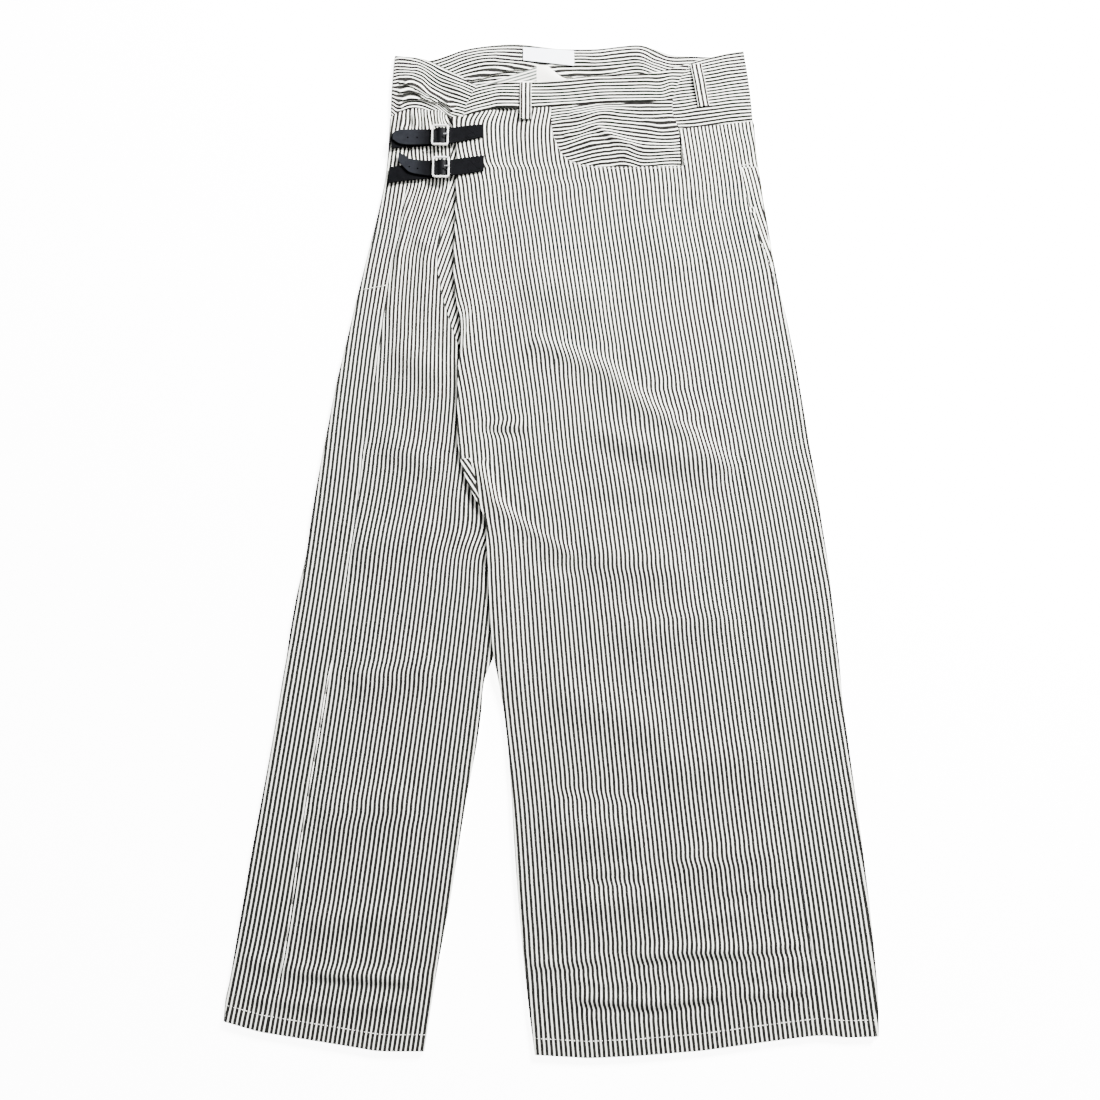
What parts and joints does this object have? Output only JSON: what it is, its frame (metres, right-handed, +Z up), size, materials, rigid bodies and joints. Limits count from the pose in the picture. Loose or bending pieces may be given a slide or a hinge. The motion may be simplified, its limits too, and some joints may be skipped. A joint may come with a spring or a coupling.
{
  "type": "wide-leg wrap trousers",
  "caption": "Long wide-leg trousers in striped cloth with a wrapped front, scooped hip pocket and buckled leather straps, lying flat with the front up.",
  "frame": {"origin": "on the surface the trousers lie on, under the middle of their outline", "axes": "+Y from the hems to the waist, +X to the wearer's left, +Z up, out of the front of the garment"},
  "size_m": [0.5798, 1.0407, 0.0124],
  "materials": {
    "striped_cloth": "matte twill",
    "plain_cloth": "matte twill",
    "label_cloth": "smooth woven",
    "black_leather": "satin",
    "silver_metal": "polished"
  },
  "bodies": {
    "root": {"front_right_leg": "striped_cloth", "front_left_leg": "striped_cloth", "front_left_tuck": "striped_cloth", "back_right_leg": "striped_cloth", "back_left_leg": "striped_cloth", "waistband": "striped_cloth", "front_waistband": "striped_cloth", "pocket_facing": "striped_cloth", "inner_facing": "plain_cloth", "label": "label_cloth", "front_belt_loop": "striped_cloth", "side_belt_loop": "striped_cloth", "upper_strap": "black_leather", "upper_strap_anchor": "black_leather", "upper_buckle_frame": "silver_metal", "upper_buckle_tongue": "silver_metal", "lower_strap": "black_leather", "lower_strap_anchor": "black_leather", "lower_buckle_frame": "silver_metal", "lower_buckle_tongue": "silver_metal"}
  },
  "joints": []
}
